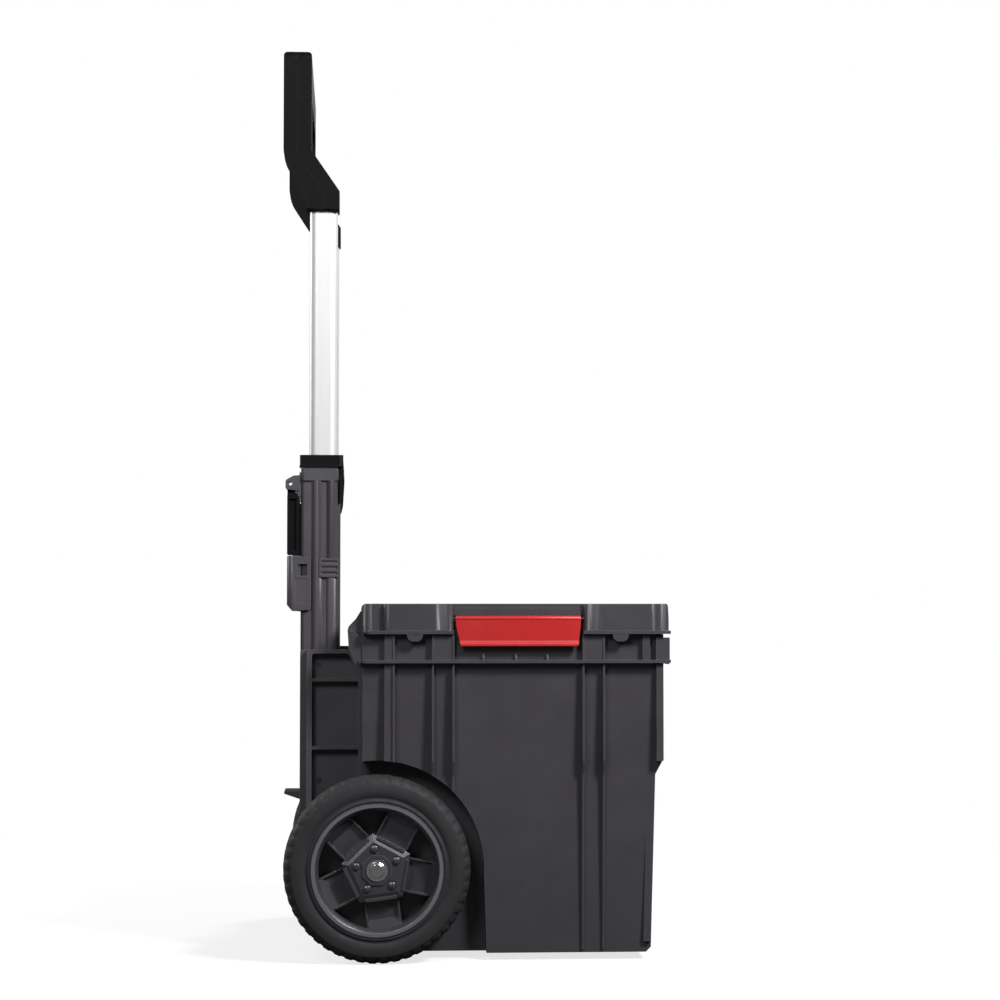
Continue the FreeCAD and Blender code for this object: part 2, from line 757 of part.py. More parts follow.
def make_axle_caps():
    """A domed push-on steel cap that keeps the wheel on the axle."""
    skirt = cylinder("y", (AXLE_X, AXLE_Z), 11.7, (235.4, 238.0))
    dome = Part.makeCone(
        9.0, 6.5, 2.0, FreeCAD.Vector(AXLE_X, 238.0, AXLE_Z), FreeCAD.Vector(0, 1, 0)
    )
    return skirt.fuse(dome).cut(cylinder("y", (AXLE_X, AXLE_Z), AXLE_R, (230.0, 237.0)))


def make_axle_beam():
    """The moulded beam in the tub's groove that carries the axle."""
    beam = block((-121.7, -84.2), sym(184.5), (78.3, 121.7))
    pockets = []
    for i in range(8):
        y = -157.5 + 45.0 * i
        if abs(abs(y) - 134.5) > 24.0:
            pockets.append(block((-124.0, -114.0), (y - 16.0, y + 16.0), (84.0, 116.0)))
    bore = cylinder("y", (AXLE_X, AXLE_Z), AXLE_R, sym(190.0))
    holes = [cylinder("x", (y, z), 2.05, (-100.0, -84.0)) for y, z in BEAM_SCREWS]
    bosses = []
    for side in (-1, 1):
        boss = cylinder("y", (AXLE_X, AXLE_Z), 14.0, sorted((side * 184.5, side * 189.5)))
        bosses.append(boss)
    return fuse([beam.cut(pockets)] + bosses).cut([bore] + holes)


def make_beam_screws():
    screws = []
    for y, z in BEAM_SCREWS:
        shank = cylinder("x", (y, z), 2.0, (-99.0, -81.0))
        head = cylinder("x", (y, z), 4.5, (-81.0, -78.0))
        screws.append(shank.fuse(head))
    return Part.makeCompound(screws)


# ---------------------------------------------------------------- frame
def oval(long_side, wide_side, z_span, centre=(TUBE_X, TUBE_Y)):
    """A flat-sided oval prism, long along X."""
    half = long_side / 2
    wide = wide_side / 2
    x_span = (centre[0] - half, centre[0] + half)
    y_span = (centre[1] - wide, centre[1] + wide)
    return slab(x_span, y_span, z_span, wide - 0.5)


def make_column():
    """One upright housing, with two rounded flutes on its outer face, bored for the tube."""
    x0, x1 = COLUMN_X
    y0, y1 = COLUMN_Y
    body = slab((x0, x1), (y0, y1 - 2.4), COLUMN_Z, 4.0)
    flutes = [slab((x0, x1), (y0, y1), (519.0, COLUMN_Z[1]), 4.0)]
    for x, radius in ((-172.0, 10.0), (-156.0, 8.4)):
        flutes.append(cylinder("z", (x, y1 - radius), radius, COLUMN_Z))
    back_rib = block((x0, x0 + 3.0), (y0 + 6.0, y1 - 8.0), (COLUMN_Z[0], COLUMN_Z[1]))
    bore = oval(TUBE_LONG + 2 * TUBE_CLEAR, TUBE_WIDE + 2 * TUBE_CLEAR, (COLUMN_Z[0] + 4.0, 560.0))
    slot = block((-170.3, -148.0), (148.4, 152.0), (411.7, 433.3))
    body = fuse([body, back_rib] + flutes)
    body = body.cut([bore, slot])
    groove = block((TUBE_X - 3.3, TUBE_X + 3.3), (y0 + 1.6, TUBE_Y), (COLUMN_Z[0] + 6.0, 470.0))
    holes = [cylinder("y", (x, z), 2.0, (145.6, 152.0)) for x, z in COLUMN_SCREWS]
    return body.cut([groove] + holes)


def make_collar():
    """The cap on a column's top that guides the tube, with a hook down the column's front."""
    y0, y1 = COLUMN_Y
    body = slab(COLLAR_X, (y0 - 1.6, y1 + 1.4), COLLAR_Z, 4.5)
    pocket = slab(spread(COLUMN_X, 0.02), (y0 - 0.02, y1 + 0.02), (530.0, COLUMN_Z[1]), 4.0)
    bead = slab(spread(COLLAR_X, 0.5), (y0 - 2.2, y1 + 2.0), (534.0, 535.6), 4.5)
    bore = oval(TUBE_LONG + 0.7, TUBE_WIDE + 0.7, (530.0, 550.0))
    hook_outline = [
        (-147.5, 494.0),
        (-146.6, 494.0),
        (-144.6, 503.0),
        (-142.9, 531.0),
        (-143.2, 541.0),
        (-147.5, 541.0),
    ]
    hook = extrude("y", hook_outline, (y0 + 5.0, y1 - 1.0), [0.0, 0.5, 6.0, 6.0, 1.5, 0.0])
    solid = fuse([body, bead, hook])
    return solid.cut([pocket, bore])


def make_clip_insert():
    """The three-bar insert in a column's outer face."""
    frame = block((-170.0, -148.3), (148.5, 150.6), (412.0, 433.0))
    slots = []
    for z in (415.4, 421.6, 427.8):
        slots.append(block((-167.0, -150.0), (149.3, 152.0), (z, z + 2.4)))
    return frame.cut(slots)


SIDE_PLATE_BACK = (-190.0, -182.5)


def make_side_plate():
    """The bracket that ties a column to the tub's back: a web with ribs standing outwards."""
    x0 = SIDE_PLATE_BACK[0]
    x1 = TUB_BACK_X - 0.4
    outline = [
        (x0, 156.0),
        (-176.0, 140.0),
        (-130.0, 126.0),
        (x1, 126.0),
        (x1, 305.0),
        (-134.7, 333.0),
        (x0, 333.0),
    ]
    web = extrude("y", outline, (150.4, 154.0), [3.0, 12.0, 0.0, 0.0, 0.0, 3.0, 3.0])
    rim_outer = extrude("y", outline, (150.4, 166.0), [3.0, 12.0, 0.0, 0.0, 0.0, 3.0, 3.0])
    rim_inner = extrude(
        "y",
        [
            (-177.0, 160.0),
            (-168.0, 148.0),
            (-130.0, 131.0),
            (x1 - 3.0, 131.0),
            (x1 - 3.0, 303.0),
            (-137.0, 329.0),
            (-177.0, 329.0),
        ],
        (149.0, 170.0),
        [3.0, 6.0, 4.0, 2.0, 4.0, 6.0, 3.0],
    )
    back_strip = block((x0 - 1.0, SIDE_PLATE_BACK[1]), (159.0, 170.0), (120.0, 340.0))
    rim = rim_outer.cut([rim_inner, back_strip])
    ribs = []
    for z in (226.0, 300.0):
        ribs.append(block((-180.0, x1 - 1.5), (150.4, 164.5), (z - 1.6, z + 1.6)))
    foot = block((x1 - 4.0, x1), (124.0, 166.0), (140.0, 304.0))
    solid = fuse([web, rim, foot] + ribs)
    holes = []
    for y, z in SIDE_SCREWS:
        holes.append(cylinder("x", (y, z), 2.55, (x1 - 10.0, x1 + 2.0)))
    for x, z in COLUMN_SCREWS:
        holes.append(cylinder("y", (x, z), 2.05, (148.0, 156.0)))
        holes.append(cylinder("y", (x, z), 3.65, (152.4, 156.0)))
    return solid.cut(holes)


def make_back_panel():
    """The ribbed panel between the two columns, with the ledge for a foot to tip the box."""
    x_span = (-186.0, -182.0)
    panel = block(x_span, sym(119.6), (160.0, 344.0))
    ribs = []
    for z in (160.0, 220.0, 280.0, 341.0):
        ribs.append(block((-190.0, -172.0), sym(119.6), (z, z + 3.0)))
    for y in (-119.6, -60.0, -1.5, 57.0, 116.6):
        ribs.append(block((-188.5, -172.0), (y, y + 3.0), (160.0, 344.0)))
    outline = [(-186.0, 158.0), (-186.0, 169.5), (-210.4, 169.5), (-210.4, 166.4)]
    step = extrude("y", outline, sym(STEP_HALF), [0.0, 0.0, 1.2, 1.2])
    return fuse([panel, step] + ribs)


def make_top_brace():
    """The cross brace that holds the tops of the two columns apart."""
    bar = slab((-186.0, -156.0), sym(119.7), (478.0, 512.0), 1.0)
    pocket = slab((-182.5, -150.0), sym(114.0), (482.0, 508.0), 1.0)
    ribs = [block((-183.0, -156.0), (y - 1.5, y + 1.5), (480.0, 510.0)) for y in (-60.0, 0.0, 60.0)]
    return fuse([bar.cut(pocket)] + ribs)


def make_frame_screws():
    """Hex-head screws from the side plates into the tub, and flush screws into the columns."""
    x1 = TUB_BACK_X - 0.4
    screws = []
    for y, z in SIDE_SCREWS:
        shank = cylinder("x", (y, z), 2.5, (x1 - 4.0, x1 + 8.0))
        corners = [
            (y + 4.6 * math.cos(math.radians(60 * i)), z + 4.6 * math.sin(math.radians(60 * i)))
            for i in range(6)
        ]
        screws.append(shank.fuse(extrude("x", corners, (x1 - 7.6, x1 - 4.0))))
    for x, z in COLUMN_SCREWS:
        head = cylinder("y", (x, z), 3.6, (152.4, 153.8))
        screws.append(head.fuse(cylinder("y", (x, z), 2.0, (146.0, 152.4))))
    return Part.makeCompound(screws)


# ---------------------------------------------------------------- strap levers
def make_lever_bracket():
    """Two ears and a base plate on a column's back face."""
    y0, y1 = LEVER_Y
    ears = []
    for span in ((y0, y0 + 4.0), (y1 - 4.0, y1)):
        outline = [
            (-190.0, 507.6),
            (LEVER_PIN_X - 5.5, 509.5),
            (LEVER_PIN_X - 5.5, 519.5),
            (-198.0, 524.5),
            (-190.0, 525.0),
        ]
        ears.append(extrude("y", outline, span, [0.0, 2.5, 4.0, 2.0, 0.0]))
    base = block((-191.5, -190.0), (y0, y1), (502.0, 528.0))
    bore = cylinder("y", (LEVER_PIN_X, LEVER_PIN_Z), LEVER_PIN_R, (y0 - 1, y1 + 1))
    return fuse(ears + [base]).cut(bore)


def make_lever_pin():
    """A rolled, hollow spring pin."""
    y0, y1 = LEVER_Y
    pin = cylinder("y", (LEVER_PIN_X, LEVER_PIN_Z), LEVER_PIN_R, (y0, y1))
    return pin.cut(cylinder("y", (LEVER_PIN_X, LEVER_PIN_Z), 2.0, (y0 - 1, y1 + 1)))


def make_strap_lever():
    """The hanging lever: a knuckle on the pin and a ribbed arm down to the catch block."""
    y0, y1 = LEVER_Y
    inner = (y0 + 4.4, y1 - 4.4)
    knuckle = cylinder("y", (LEVER_PIN_X, LEVER_PIN_Z), 5.0, inner)
    neck = block((LEVER_PIN_X - 3.4, LEVER_PIN_X + 5.0), inner, (504.0, LEVER_PIN_Z))
    arm = extrude(
        "y",
        [(-205.0, 437.0), (-192.0, 437.0), (-192.0, 501.0), (-194.5, 505.5), (-205.0, 504.0)],
        (y0, y1),
        [1.5, 1.5, 2.0, 2.0, 2.0],
    )
    hollow = block((-202.4, -194.6), (y1 - 2.6, y1 + 1.0), (442.0, 499.0))
    solid = fuse([arm.cut([hollow, mirror_about(hollow, (y0 + y1) / 2)]), neck, knuckle])
    return solid.cut(cylinder("y", (LEVER_PIN_X, LEVER_PIN_Z), LEVER_PIN_R + 0.06, (y0, y1)))


def mirror_about(shape, y):
    """The mirror image in the plane at this y."""
    return shape.mirror(FreeCAD.Vector(0, y, 0), FreeCAD.Vector(0, 1, 0))


def make_catch_block():
    """The block on a column's back that the lever hangs against."""
    outline = [
        (-190.0, 375.0),
        (-190.0, 436.0),
        (-205.0, 436.0),
        (-205.0, 382.0),
        (-199.0, 375.0),
    ]
    body = extrude("y", outline, (122.0, 150.2), [0.0, 0.0, 1.5, 2.0, 3.0])
    cheek_outline = [(-178.5, 377.0), (-178.5, 434.0)] + outline[2:]
    cheek = extrude("y", cheek_outline, (150.2, 151.6), [2.0, 2.0, 1.5, 2.0, 3.0])
    window = block((-196.0, -182.0), (151.0, 153.0), (384.0, 411.0))
    notch = block((-192.5, -182.5), (148.6, 153.0), (414.0, 427.0))
    rounding = extrude(
        "z",
        rectangle((-205.0, -178.5), (110.0, 151.6)),
        (370.0, 440.0),
        [0.0, 0.0, 0.0, CATCH_EDGE_R],
    )
    return body.fuse(cheek).cut([window, notch]).common(rounding)


# ---------------------------------------------------------------- handle
def handle_outline(inset=0.0):
    """The handle's cranked side view, moved inwards by the inset."""
    back, front = HANDLE_BACK_X + inset, HANDLE_FRONT_X - inset
    foot_back, foot_front = HANDLE_FOOT_X[0] + inset, HANDLE_FOOT_X[1] - inset
    return [
        (foot_back, HANDLE_FOOT_Z + inset),
        (foot_front, HANDLE_FOOT_Z + inset),
        (foot_front, HANDLE_BEND_FRONT_Z[0] - 0.3 * inset),
        (front, HANDLE_BEND_FRONT_Z[1] - 0.3 * inset),
        (front, HANDLE_TOP_Z - inset),
        (back, HANDLE_TOP_Z - inset),
        (back, HANDLE_BEND_BACK_Z[1] + 0.3 * inset),
        (foot_back, HANDLE_BEND_BACK_Z[0] + 0.3 * inset),
    ]


def handle_form():
    """Both arms and the cross grip, solid."""
    y0, y1 = HANDLE_Y
    whole = extrude("y", handle_outline(), sym(y1), HANDLE_RADII)
    front_view = rectangle(sym(y1), (HANDLE_FOOT_Z, HANDLE_TOP_Z))
    corners = [3.0, 3.0, HANDLE_TOP_CORNER_R, HANDLE_TOP_CORNER_R]
    whole = whole.common(extrude("x", front_view, (-260.0, -100.0), corners))
    hand_gap = rectangle(sym(y0), (700.0, GRIP_BOTTOM_Z))
    return whole.cut(extrude("x", hand_gap, (-260.0, -100.0), [0.0, 0.0, 16.0, 16.0]))


def handle_hollow():
    """The space inside the handle for the tubes, the release yoke and its links."""
    y0, y1 = HANDLE_Y
    arm = extrude("y", handle_outline(3.4), (TUBE_Y - 4.5, TUBE_Y + 4.5), HANDLE_INNER_RADII)
    arm = arm.common(block((-260, -100), (100, 160), (838.0, 987.0)))
    socket = oval(TUBE_LONG + 0.1, TUBE_WIDE + 0.1, (HANDLE_FOOT_Z - 5.0, TUBE_Z[1]))
    throat = oval(10.0, 9.0, (TUBE_Z[1] - 10.0, 856.0))
    grip = block((-202.0, -187.0), sym(TUBE_Y + 4.5), (959.0, 987.0))
    return [arm, mirrored(arm), socket, mirrored(socket), throat, mirrored(throat), grip]


def handle_front_half():
    """Everything in front of the parting surface that follows the handle's crank."""
    mid_top = (HANDLE_BACK_X + HANDLE_FRONT_X) / 2
    outline = [
        (TUBE_X, 780.0),
        (-100.0, 780.0),
        (-100.0, 1010.0),
        (mid_top, 1010.0),
        (mid_top, 880.0),
        (TUBE_X, 838.0),
    ]
    return extrude("y", outline, sym(200))


def handle_lines():
    """Fine lines sunk in the left arm's outer face: two level ones, and a chevron below the top."""
    level = HANDLE_Y[1] - HANDLE_LINE[1]
    x0, x1 = HANDLE_BACK_X + 1.6, HANDLE_FRONT_X - 1.6
    middle, half = (x0 + x1) / 2, HANDLE_LINE[0] / 2
    lines = []
    for z in HANDLE_LINES_Z:
        lines.append(block((x0, x1), (level, 152.0), (z - half, z + half)))
    for x in (x0, x1):
        inner = x + (middle - x) * 0.55
        z0, z1 = HANDLE_CHEVRON_Z
        outline = [(x, z0), (inner, z1), (inner, z1 + 2 * half), (x, z0 + 2 * half)]
        lines.append(extrude("y", outline, (level, 152.0)))
    return lines


def make_handle_shells():
    """The back and front half shells of the handle, with screw holes and the button's window."""
    body = handle_form().cut(handle_hollow())
    window = slab((-202.3, -186.9), sym(BUTTON_HALF + 0.3), (980.0, 1000.0), 3.0)
    scoop = cylinder("x", (0.0, HANDLE_TOP_Z + 240.0), 243.0, (-230.0, -160.0))
    scoop = scoop.common(block((-230, -160), sym(60), (980, 1010)))
    holes = []
    for y, z, back in HANDLE_SCREWS:
        for side in (-1, 1):
            point = (side * y, z)
            holes.append(cylinder("x", point, HANDLE_HEAD_R + 0.2, (back - 1.0, back + 3.5)))
            holes.append(cylinder("x", point, HANDLE_HEAD_R, (back + 3.4, back + 6.0)))
            holes.append(cylinder("x", point, HANDLE_SCREW_R, (back + 5.0, back + 27.0)))
    lines = handle_lines()
    body = body.cut([window, scoop] + holes + lines + [mirrored(line) for line in lines])
    front = handle_front_half()
    return body.cut(front), body.common(front)


def make_release_button():
    """The push button in the top of the grip, with a skirt that keeps it in."""
    cap = slab((-201.9, -187.3), sym(BUTTON_HALF), (974.0, 995.6), 2.8)
    skirt = block((-201.6, -187.6), sym(BUTTON_HALF + 3.0), (982.0, 986.6))
    return cap.fuse(skirt)


def rod_path(radius):
    """One release link: down from the yoke, along the crank, and down inside the tube."""
    y = TUBE_Y
    points = [(-194.6, 972.0), (-194.6, 884.0), (TUBE_X, 852.0), (TUBE_X, LOCK_Z + 12.0)]
    pieces = []
    for (xa, za), (xb, zb) in zip(points[:-1], points[1:]):
        start = FreeCAD.Vector(xa, y, za)
        run = FreeCAD.Vector(xb, y, zb) - start
        pieces.append(Part.makeCylinder(radius, run.Length, start, run))
    for x, z in points[1:-1]:
        pieces.append(Part.makeSphere(radius, FreeCAD.Vector(x, y, z)))
    return fuse(pieces)


def make_release_yoke():
    """The bar under the button, and its two bent links down to the lock pins."""
    bar = block((-198.0, -191.2), sym(TUBE_Y + 3.5), (968.0, 974.0))
    link = rod_path(2.0)
    return fuse([bar, link, mirrored(link)])


def helix_spring(centre, radius, wire, z_span, turns):
    """A compression spring: rings joined into one solid by a thin spine, upright."""
    rings = []
    low, high = z_span
    pitch = (high - low - 2 * wire) / turns
    for i in range(turns + 1):
        ring = Part.makeTorus(radius, wire, FreeCAD.Vector(*centre, low + wire + pitch * i))
        rings.append(ring)
    spine = cylinder("z", (centre[0] + radius, centre[1]), wire * 0.8, (low + wire, high - wire))
    return fuse(rings + [spine])


def make_button_spring():
    return helix_spring((-194.6, 0.0), 4.0, 0.6, (959.3, 967.7), 4)


def make_tube():
    tube = oval(TUBE_LONG, TUBE_WIDE, TUBE_Z)
    inner = oval(TUBE_LONG - 2 * TUBE_WALL, TUBE_WIDE - 2 * TUBE_WALL, spread(TUBE_Z, 1))
    pin_hole = cylinder("y", (TUBE_X, LOCK_Z), LOCK_PIN_R + 0.06, (TUBE_Y - 12.0, TUBE_Y))
    return tube.cut([inner, pin_hole])


def make_guide_block():
    """The nylon plug in a tube's foot, which guides the tube and holds the lock pin."""
    foot = oval(TUBE_LONG + 0.4, TUBE_WIDE + 0.4, (TUBE_Z[0] - 6.0, TUBE_Z[0]))
    inner = (TUBE_LONG - 2 * TUBE_WALL - 0.1, TUBE_WIDE - 2 * TUBE_WALL - 0.1)
    plug = oval(inner[0], inner[1], (TUBE_Z[0], LOCK_Z + 9.0))
    pin_bore = cylinder("y", (TUBE_X, LOCK_Z), LOCK_PIN_R + 0.06, (TUBE_Y - 12.0, TUBE_Y + 3.0))
    rod_bore = cylinder("z", (TUBE_X, TUBE_Y), 2.4, (LOCK_Z, LOCK_Z + 12.0))
    return fuse([foot, plug]).cut([pin_bore, rod_bore])


def make_lock_pin():
    """The pin that locks the tube in its column, drawn back to the guide groove."""
    return cylinder("y", (TUBE_X, LOCK_Z), LOCK_PIN_R, (TUBE_Y - 11.6, TUBE_Y - 2.0))


def make_handle_screws():
    """Three screws a side, from the back shell into the front shell."""
    screws = []
    for y, z, back in HANDLE_SCREWS:
        head = cylinder("x", (y, z), HANDLE_HEAD_R, (back + 3.5, back + 6.0))
        shank = cylinder("x", (y, z), HANDLE_SCREW_R, (back + 6.0, back + 26.0))
        socket = cylinder("x", (y, z), 1.4, (back + 3.0, back + 4.8))
        screws.append(head.fuse(shank).cut(socket))
    return Part.makeCompound(screws)


# ---------------------------------------------------------------- build
def main():
    os.makedirs("parts", exist_ok=True)
    save("tub", make_tub())
    save_group("front_feet", make_feet())
    save_group("foot_screws", make_foot_screws())
    save("lid", make_lid())
    save("lid_seal", make_lid_seal())
    save_group("latch_pins", make_latch_pins())
    save_pair("latch", make_latch())
    save_group("hinge_pins", make_hinge_pin())
    save_pair("tyre", make_tyre())
    save_pair("rim", make_rim())
    save_pair("hub_bushes", make_hub_bushes())
    save("axle", make_axle())
    save_group("axle_spacers", make_axle_spacer())
    save_group("axle_caps", make_axle_caps())
    save("axle_beam", make_axle_beam())
    save("beam_screws", make_beam_screws())
    save_pair("column", make_column())
    save_pair("collar", make_collar())
    save_group("clip_inserts", make_clip_insert())
    save_pair("side_plate", make_side_plate())
    save("back_panel", make_back_panel())
    save("top_brace", make_top_brace())
    save_group("frame_screws", make_frame_screws())
    save_group("lever_brackets", make_lever_bracket())
    save_group("lever_pins", make_lever_pin())
    save_group("catch_blocks", make_catch_block())
    save_pair("strap_lever", make_strap_lever())
    back_shell, front_shell = make_handle_shells()
    save("handle_back_shell", back_shell)
    save("handle_front_shell", front_shell)
    save_group("handle_screws", make_handle_screws())
    save("release_button", make_release_button())
    save("release_yoke", make_release_yoke())
    save("button_spring", make_button_spring())
    save_pair("tube", make_tube())
    save_pair("guide_block", make_guide_block())
    save_pair("lock_pin", make_lock_pin())


main()
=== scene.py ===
import json
import math

import bmesh
import bpy
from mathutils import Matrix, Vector


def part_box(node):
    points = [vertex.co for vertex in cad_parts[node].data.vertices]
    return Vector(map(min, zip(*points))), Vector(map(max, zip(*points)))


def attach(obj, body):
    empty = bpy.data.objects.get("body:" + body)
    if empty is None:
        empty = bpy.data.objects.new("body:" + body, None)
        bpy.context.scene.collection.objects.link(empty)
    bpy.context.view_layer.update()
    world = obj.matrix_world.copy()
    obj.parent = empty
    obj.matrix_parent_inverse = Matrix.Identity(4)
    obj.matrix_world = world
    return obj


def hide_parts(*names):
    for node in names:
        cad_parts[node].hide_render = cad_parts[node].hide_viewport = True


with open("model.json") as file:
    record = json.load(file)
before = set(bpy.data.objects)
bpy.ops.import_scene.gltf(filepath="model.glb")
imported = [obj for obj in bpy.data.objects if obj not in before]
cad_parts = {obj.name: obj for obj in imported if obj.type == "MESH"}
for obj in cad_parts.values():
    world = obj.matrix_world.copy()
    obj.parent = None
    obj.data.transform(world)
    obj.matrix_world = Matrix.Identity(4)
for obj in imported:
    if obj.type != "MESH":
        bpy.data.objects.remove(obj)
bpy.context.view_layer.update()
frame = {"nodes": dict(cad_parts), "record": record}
NODES = frame["nodes"]

# ---------------------------------------------------------------- camera, floor and light
# Lengths are in metres, and the lens and sensor in millimetres.
CAMERA_AT = Vector((-0.1336, -2.925, 0.372))
CAMERA_LOOKS_AT = Vector((0.0248, -0.2324, 0.4941))
CAMERA_LENS = 90.6
CAMERA_SENSOR = 36.0

# name, place, diameter and power in watts
LIGHTS = (
    ("key", Vector((0.95, -1.15, 1.5)), 0.4, 52.0),
    ("fill", Vector((-0.9, -2.2, 1.7)), 0.9, 30.0),
    ("rim", Vector((0.9, 1.7, 1.9)), 0.8, 42.0),
    ("back", Vector((-2.1, 0.9, 1.3)), 1.2, 34.0),
)
LIGHTS_AIM_AT = Vector((0.0, 0.0, 0.35))
WORLD_LIGHT = 0.14

FLOOR_HALF = 30.0
FLOOR_SHADOW = 0.25
FLOOR_SHADOW_RADIUS = 0.5
FLOOR_CLEAR_RADIUS = 1.5


def make_camera():
    data = bpy.data.cameras.new("camera")
    data.lens = CAMERA_LENS
    data.sensor_width = CAMERA_SENSOR
    camera = bpy.data.objects.new("camera", data)
    bpy.context.scene.collection.objects.link(camera)
    camera.location = CAMERA_AT
    camera.rotation_euler = (CAMERA_LOOKS_AT - CAMERA_AT).to_track_quat("-Z", "Y").to_euler()
    bpy.context.scene.camera = camera


def area_light(name, place, size, power):
    data = bpy.data.lights.new(name, "AREA")
    data.shape = "DISK"
    data.size = size
    data.energy = power
    light = bpy.data.objects.new(name, data)
    bpy.context.scene.collection.objects.link(light)
    light.location = place
    light.rotation_euler = (LIGHTS_AIM_AT - place).to_track_quat("-Z", "Y").to_euler()


def make_world():
    """White to the camera, and a softer white as the light that falls on the object."""
    world = bpy.data.worlds.new("studio")
    bpy.context.scene.world = world
    world.use_nodes = True
    nodes, links = world.node_tree.nodes, world.node_tree.links
    nodes.clear()
    seen = nodes.new("ShaderNodeBackground")
    seen.inputs["Color"].default_value = (1.0, 1.0, 1.0, 1.0)
    lighting = nodes.new("ShaderNodeBackground")
    lighting.inputs["Strength"].default_value = WORLD_LIGHT
    path = nodes.new("ShaderNodeLightPath")
    mix = nodes.new("ShaderNodeMixShader")
    output = nodes.new("ShaderNodeOutputWorld")
    links.new(path.outputs["Is Camera Ray"], mix.inputs[0])
    links.new(lighting.outputs[0], mix.inputs[1])
    links.new(seen.outputs[0], mix.inputs[2])
    links.new(mix.outputs[0], output.inputs[0])


def floor_material():
    """A pale floor that shows soft shadows near the object and fades to plain white further out."""
    material, tree, shader = shader_of("floor_paint")
    shader.inputs["Base Color"].default_value = (0.9, 0.9, 0.91, 1.0)
    shader.inputs["Roughness"].default_value = 0.8
    glow = tree.nodes.new("ShaderNodeEmission")
    glow.inputs["Strength"].default_value = 1.0
    dull = tree.nodes.new("ShaderNodeBsdfDiffuse")
    dull.inputs["Color"].default_value = (0.07, 0.07, 0.07, 1.0)
    place = tree.nodes.new("ShaderNodeTexCoord")
    length = tree.nodes.new("ShaderNodeVectorMath")
    length.operation = "LENGTH"
    tree.links.new(place.outputs["Object"], length.inputs[0])
    clear = remap(
        tree, length.outputs["Value"], FLOOR_SHADOW_RADIUS, FLOOR_CLEAR_RADIUS, 1.0 - FLOOR_SHADOW, 1.0
    )
    seen = tree.nodes.new("ShaderNodeMixShader")
    tree.links.new(clear, seen.inputs[0])
    tree.links.new(shader.outputs[0], seen.inputs[1])
    tree.links.new(glow.outputs[0], seen.inputs[2])
    path = tree.nodes.new("ShaderNodeLightPath")
    choice = tree.nodes.new("ShaderNodeMixShader")
    tree.links.new(path.outputs["Is Camera Ray"], choice.inputs[0])
    tree.links.new(dull.outputs[0], choice.inputs[1])
    tree.links.new(seen.outputs[0], choice.inputs[2])
    output = next(node for node in tree.nodes if node.type == "OUTPUT_MATERIAL")
    tree.links.new(choice.outputs[0], output.inputs[0])
    return material


def make_floor():
    mesh = bpy.data.meshes.new("floor")
    signs = ((-1, -1), (1, -1), (1, 1), (-1, 1))
    corners = [(a * FLOOR_HALF, b * FLOOR_HALF, 0.0) for a, b in signs]
    mesh.from_pydata(corners, [], [(0, 1, 2, 3)])
    floor = bpy.data.objects.new("floor", mesh)
    bpy.context.scene.collection.objects.link(floor)
    mesh.materials.append(floor_material())


# ---------------------------------------------------------------- materials
BLACK = (0.034, 0.0315, 0.0365)
# radius of the edge mask that pales sharp edges, both as wear and as a painted highlight
EDGE_WEAR_AND_HIGHLIGHT_RADIUS = 0.0013

# the wheels' axis
WHEEL_X = -0.106
WHEEL_Z = 0.100

# radii of the rim's zones: the hub, the panels round it with their painted shade, and the bead at the
# edge with its painted highlight
HUB_EDGE = (0.0355, 0.0375)
PANEL_SHADE = (0.036, 0.054)
BEAD_INNER = (0.0658, 0.0664)
BEAD_OUTER = (0.0698, 0.0704)


def shader_of(name):
    """A new material with only a Principled shader. Returns the material, its tree and the shader."""
    material = bpy.data.materials.new(name)
    material.use_nodes = True
    tree = material.node_tree
    tree.nodes.clear()
    output = tree.nodes.new("ShaderNodeOutputMaterial")
    shader = tree.nodes.new("ShaderNodeBsdfPrincipled")
    tree.links.new(shader.outputs[0], output.inputs[0])
    return material, tree, shader


def object_coordinates(tree, scale=(1.0, 1.0, 1.0)):
    """Object coordinates in metres, stretched by a scale."""
    source = tree.nodes.new("ShaderNodeTexCoord")
    mapping = tree.nodes.new("ShaderNodeMapping")
    mapping.inputs["Scale"].default_value = scale
    tree.links.new(source.outputs["Object"], mapping.inputs["Vector"])
    return mapping.outputs["Vector"]


def noise(tree, vector, scale, detail=3.0, roughness=0.55):
    node = tree.nodes.new("ShaderNodeTexNoise")
    node.inputs["Scale"].default_value = scale
    node.inputs["Detail"].default_value = detail
    node.inputs["Roughness"].default_value = roughness
    tree.links.new(vector, node.inputs["Vector"])
    return node.outputs["Fac"]


def remap(tree, value, from_low, from_high, to_low, to_high):
    node = tree.nodes.new("ShaderNodeMapRange")
    node.clamp = True
    for key, number in (
        ("From Min", from_low),
        ("From Max", from_high),
        ("To Min", to_low),
        ("To Max", to_high),
    ):
        node.inputs[key].default_value = number
    tree.links.new(value, node.inputs["Value"])
    return node.outputs["Result"]


def arithmetic(tree, kind, first, second):
    node = tree.nodes.new("ShaderNodeMath")
    node.operation = kind
    for socket, value in zip(node.inputs, (first, second)):
        if isinstance(value, (int, float)):
            socket.default_value = value
        else:
            tree.links.new(value, socket)
    return node.outputs[0]


def mix_colour(tree, factor, first, second):
    node = tree.nodes.new("ShaderNodeMix")
    node.data_type = "RGBA"
    tree.links.new(factor, node.inputs["Factor"])
    for socket, value in ((node.inputs[6], first), (node.inputs[7], second)):
        if isinstance(value, tuple):
            socket.default_value = (*value, 1.0)
        else:
            tree.links.new(value, socket)
    return node.outputs[2]


def bump(tree, height, distance, strength):
    node = tree.nodes.new("ShaderNodeBump")
    node.inputs["Distance"].default_value = distance
    node.inputs["Strength"].default_value = strength
    tree.links.new(height, node.inputs["Height"])
    return node.outputs["Normal"]


